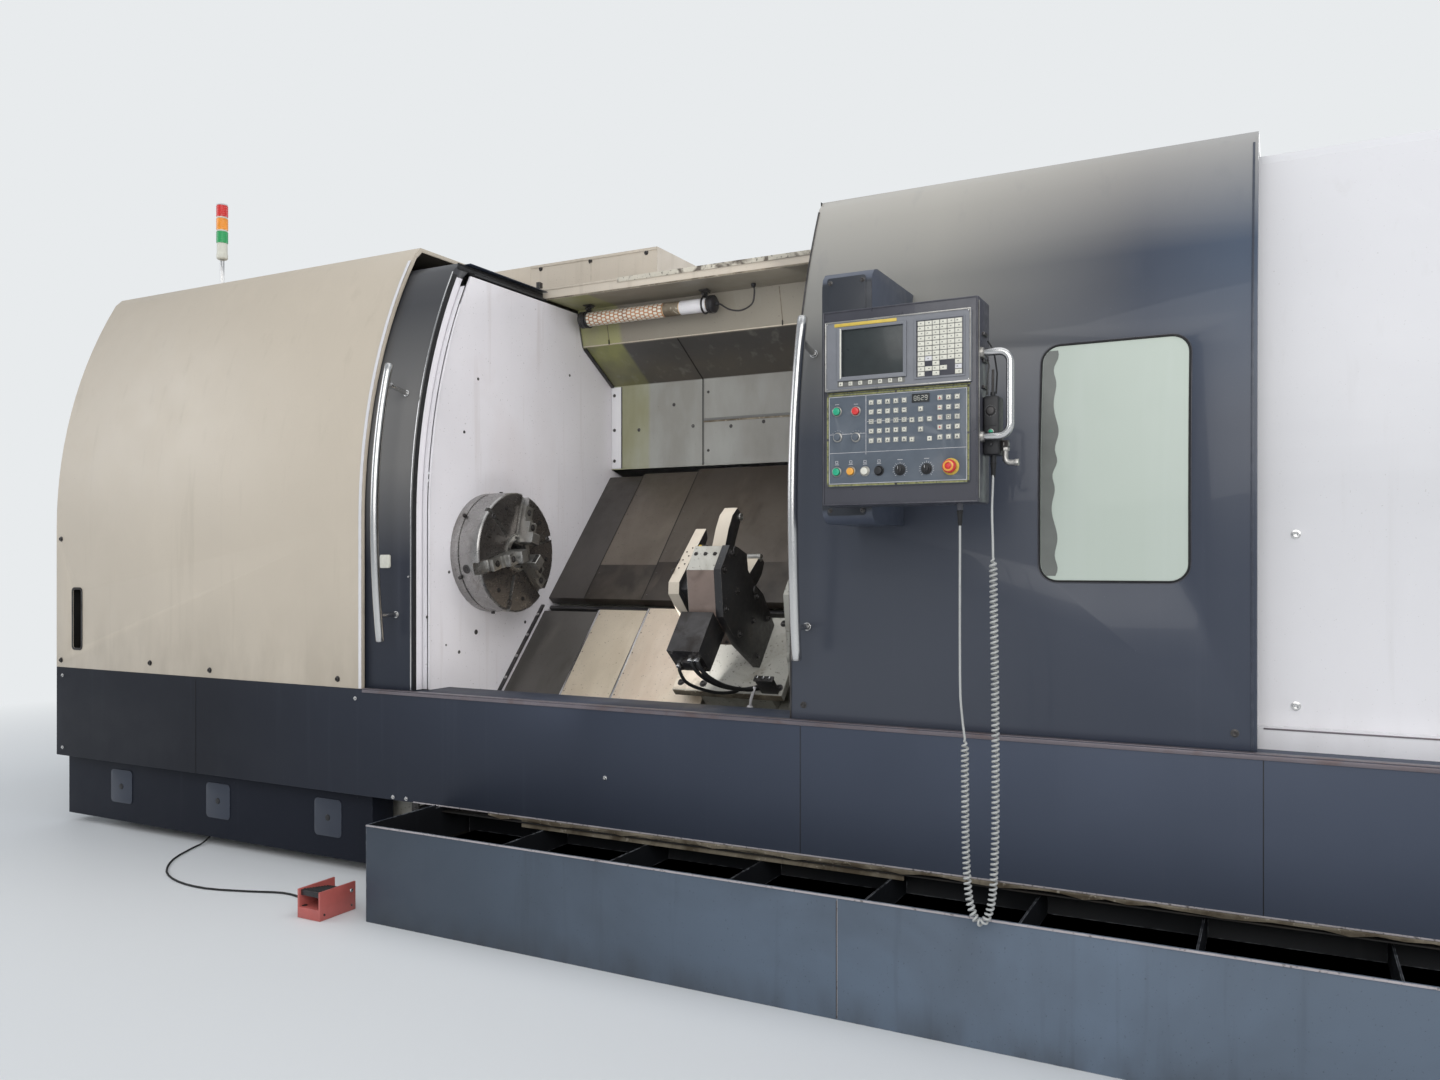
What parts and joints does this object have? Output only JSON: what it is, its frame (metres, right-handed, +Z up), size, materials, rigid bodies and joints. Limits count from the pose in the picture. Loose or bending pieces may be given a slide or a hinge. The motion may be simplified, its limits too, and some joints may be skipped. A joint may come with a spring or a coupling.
{
  "type": "cnc turning lathe",
  "caption": "Slant-bed turning lathe in a bowed sheet-metal enclosure with sliding doors, chuck, steady rest, tailstock and swivelling control pendant.",
  "frame": {"origin": "centre of the footprint on the floor, under the machine", "axes": "+X to the operator's right along the spindle, +Y to the rear, +Z up"},
  "size_m": [6.7, 2.4843, 3.2203],
  "materials": {
    "cream_paint": "satin",
    "white_paint": "satin",
    "blue_grey_paint": "semi-gloss",
    "tank_paint": "satin",
    "casting_paint": "matt",
    "stained_steel": "worn",
    "bright_steel": "ground",
    "dark_steel": "blackened",
    "black_plastic": "matt",
    "black_rubber": "matt",
    "grey_panel": "satin",
    "black_paint": "satin",
    "frosted_glass": "frosted",
    "green_button": "gloss",
    "red_button": "gloss",
    "orange_button": "gloss",
    "ivory_plastic": "satin"
  },
  "bodies": {
    "machine": {"bed_casting": "casting_paint", "headstock_casting": "casting_paint", "headstock_cover": "cream_paint", "right_cover": "white_paint", "roof_cover": "white_paint", "rear_cover": "white_paint", "front_skirt": "blue_grey_paint", "lower_skirt": "blue_grey_paint", "bulkhead": "white_paint", "back_panel": "grey_panel", "work_lamp": "ivory_plastic", "signal_tower": "ivory_plastic", "coolant_tank": "tank_paint", "spindle_motor": "blue_grey_paint", "upper_cover_fixed": "stained_steel", "lower_cover_fixed": "stained_steel", "foot_switch_base": "red_button", "foot_switch_cord": "black_rubber"},
    "left_door": {"left_door": "blue_grey_paint", "left_door_handle": "bright_steel"},
    "right_door": {"right_door": "blue_grey_paint", "right_door_handle": "bright_steel", "door_window": "frosted_glass", "pendant_bracket": "black_paint"},
    "pendant": {"pendant_box": "grey_panel", "screen_unit": "grey_panel", "operator_panel": "grey_panel", "pendant_handle": "bright_steel", "pulse_generator": "black_plastic", "pendant_cord": "black_rubber", "curly_cord": "black_rubber", "pulse_cord": "black_rubber"},
    "power_on_button": {"power_on_button": "green_button"},
    "power_off_button": {"power_off_button": "red_button"},
    "cycle_start_button": {"cycle_start_button": "green_button"},
    "feed_hold_button": {"feed_hold_button": "orange_button"},
    "lamp_button": {"lamp_button": "ivory_plastic"},
    "coolant_button": {"coolant_button": "black_plastic"},
    "emergency_stop": {"emergency_stop": "red_button"},
    "spindle_dial": {"spindle_dial": "black_plastic"},
    "feed_dial": {"feed_dial": "black_plastic"},
    "spindle": {"spindle": "bright_steel", "chuck_body": "bright_steel"},
    "jaw_1": {"chuck_jaw_1": "bright_steel"},
    "jaw_2": {"chuck_jaw_2": "bright_steel"},
    "jaw_3": {"chuck_jaw_3": "bright_steel"},
    "carriage": {"saddle": "casting_paint", "upper_cover_carriage": "stained_steel"},
    "upper_middle": {"upper_cover_middle": "stained_steel"},
    "cross_slide": {"turret_slide": "casting_paint"},
    "turret": {"turret_disc": "dark_steel"},
    "tailstock": {"tailstock_body": "cream_paint"},
    "quill": {"quill": "bright_steel"},
    "steady": {"steady_base": "cream_paint", "steady_housing": "black_paint", "lower_cover_steady": "stained_steel"},
    "lower_middle": {"lower_cover_middle": "stained_steel"},
    "upper_claw": {"upper_claw": "black_paint"},
    "lower_claw": {"lower_claw": "black_paint"},
    "treadle": {"foot_treadle": "ivory_plastic"}
  },
  "joints": [
    {"name": "left_door_slide", "type": "slide", "parent": "machine", "child": "left_door", "axis": [1, 0, 0], "range_m": [0, 0.417]},
    {"name": "right_door_slide", "type": "slide", "parent": "machine", "child": "right_door", "axis": [-1, 0, 0], "range_m": [0, 1.25]},
    {"name": "pendant_swivel", "type": "hinge", "parent": "right_door", "child": "pendant", "pos_m": [0.992, -1.053, 1.6], "axis": [0, 0, -1], "range_deg": [0, 60]},
    {"name": "power_on_button_press", "type": "slide", "parent": "pendant", "child": "power_on_button", "axis": [0, 1, 0], "range_m": [0, 0.004], "stiffness_N_per_m": 400},
    {"name": "power_off_button_press", "type": "slide", "parent": "pendant", "child": "power_off_button", "axis": [0, 1, 0], "range_m": [0, 0.004], "stiffness_N_per_m": 400},
    {"name": "cycle_start_button_press", "type": "slide", "parent": "pendant", "child": "cycle_start_button", "axis": [0, 1, 0], "range_m": [0, 0.004], "stiffness_N_per_m": 400},
    {"name": "feed_hold_button_press", "type": "slide", "parent": "pendant", "child": "feed_hold_button", "axis": [0, 1, 0], "range_m": [0, 0.004], "stiffness_N_per_m": 400},
    {"name": "lamp_button_press", "type": "slide", "parent": "pendant", "child": "lamp_button", "axis": [0, 1, 0], "range_m": [0, 0.004], "stiffness_N_per_m": 400},
    {"name": "coolant_button_press", "type": "slide", "parent": "pendant", "child": "coolant_button", "axis": [0, 1, 0], "range_m": [0, 0.004], "stiffness_N_per_m": 400},
    {"name": "emergency_stop_press", "type": "slide", "parent": "pendant", "child": "emergency_stop", "axis": [0, 1, 0], "range_m": [0, 0.005], "stiffness_N_per_m": 600},
    {"name": "spindle_dial_turn", "type": "hinge", "parent": "pendant", "child": "spindle_dial", "pos_m": [1.197, -1.2163, 1.55], "axis": [0, -1, 0], "range_deg": [-135, 135]},
    {"name": "feed_dial_turn", "type": "hinge", "parent": "pendant", "child": "feed_dial", "pos_m": [1.27, -1.2163, 1.55], "axis": [0, -1, 0], "range_deg": [-135, 135]},
    {"name": "spindle_turn", "type": "hinge", "parent": "machine", "child": "spindle", "pos_m": [-0.994, -0.248, 1.346], "axis": [1, 0, 0], "continuous": true},
    {"name": "jaw_1_slide", "type": "slide", "parent": "spindle", "child": "jaw_1", "axis": [0, 0.2419, 0.9703], "range_m": [-0.01, 0.03]},
    {"name": "jaw_2_slide", "type": "slide", "parent": "spindle", "child": "jaw_2", "axis": [0, -0.9613, -0.2756], "range_m": [-0.01, 0.03]},
    {"name": "jaw_3_slide", "type": "slide", "parent": "spindle", "child": "jaw_3", "axis": [0, 0.7193, -0.6947], "range_m": [-0.01, 0.03]},
    {"name": "carriage_slide", "type": "slide", "parent": "machine", "child": "carriage", "axis": [1, 0, 0], "range_m": [-0.45, 1]},
    {"name": "upper_middle_slide", "type": "slide", "parent": "machine", "child": "upper_middle", "axis": [1, 0, 0], "range_m": [-0.18, 0.4]},
    {"name": "cross_slide_travel", "type": "slide", "parent": "carriage", "child": "cross_slide", "axis": [0, -0.6561, -0.7547], "range_m": [0, 0.24]},
    {"name": "turret_index", "type": "hinge", "parent": "cross_slide", "child": "turret", "pos_m": [0.6, 0.185, 1.8441], "axis": [1, 0, 0], "continuous": true},
    {"name": "tailstock_slide", "type": "slide", "parent": "machine", "child": "tailstock", "axis": [-1, 0, 0], "range_m": [-0.8, 0.03]},
    {"name": "quill_slide", "type": "slide", "parent": "tailstock", "child": "quill", "axis": [-1, 0, 0], "range_m": [0, 0.15]},
    {"name": "steady_slide", "type": "slide", "parent": "machine", "child": "steady", "axis": [-1, 0, 0], "range_m": [0, 0.45]},
    {"name": "lower_middle_slide", "type": "slide", "parent": "machine", "child": "lower_middle", "axis": [-1, 0, 0], "range_m": [0, 0.225]},
    {"name": "upper_claw_turn", "type": "hinge", "parent": "steady", "child": "upper_claw", "pos_m": [0.2, -0.4004, 1.346], "axis": [-1, 0, 0], "range_deg": [0, 20]},
    {"name": "lower_claw_turn", "type": "hinge", "parent": "steady", "child": "lower_claw", "pos_m": [0.2, -0.2268, 1.1951], "axis": [1, 0, 0], "range_deg": [0, 20]},
    {"name": "treadle_press", "type": "hinge", "parent": "machine", "child": "treadle", "pos_m": [-1.04, -1.06, 0.075], "axis": [1, 0, 0], "range_deg": [0, 8], "stiffness_Nm_per_rad": 6, "springref_deg": -11.46}
  ],
  "couplings": [
    {"joint": "jaw_2_slide", "follows": "jaw_1_slide", "ratio": 1},
    {"joint": "jaw_3_slide", "follows": "jaw_1_slide", "ratio": 1},
    {"joint": "upper_middle_slide", "follows": "carriage_slide", "ratio": 0.4},
    {"joint": "lower_middle_slide", "follows": "steady_slide", "ratio": 0.5},
    {"joint": "lower_claw_turn", "follows": "upper_claw_turn", "ratio": 1}
  ]
}
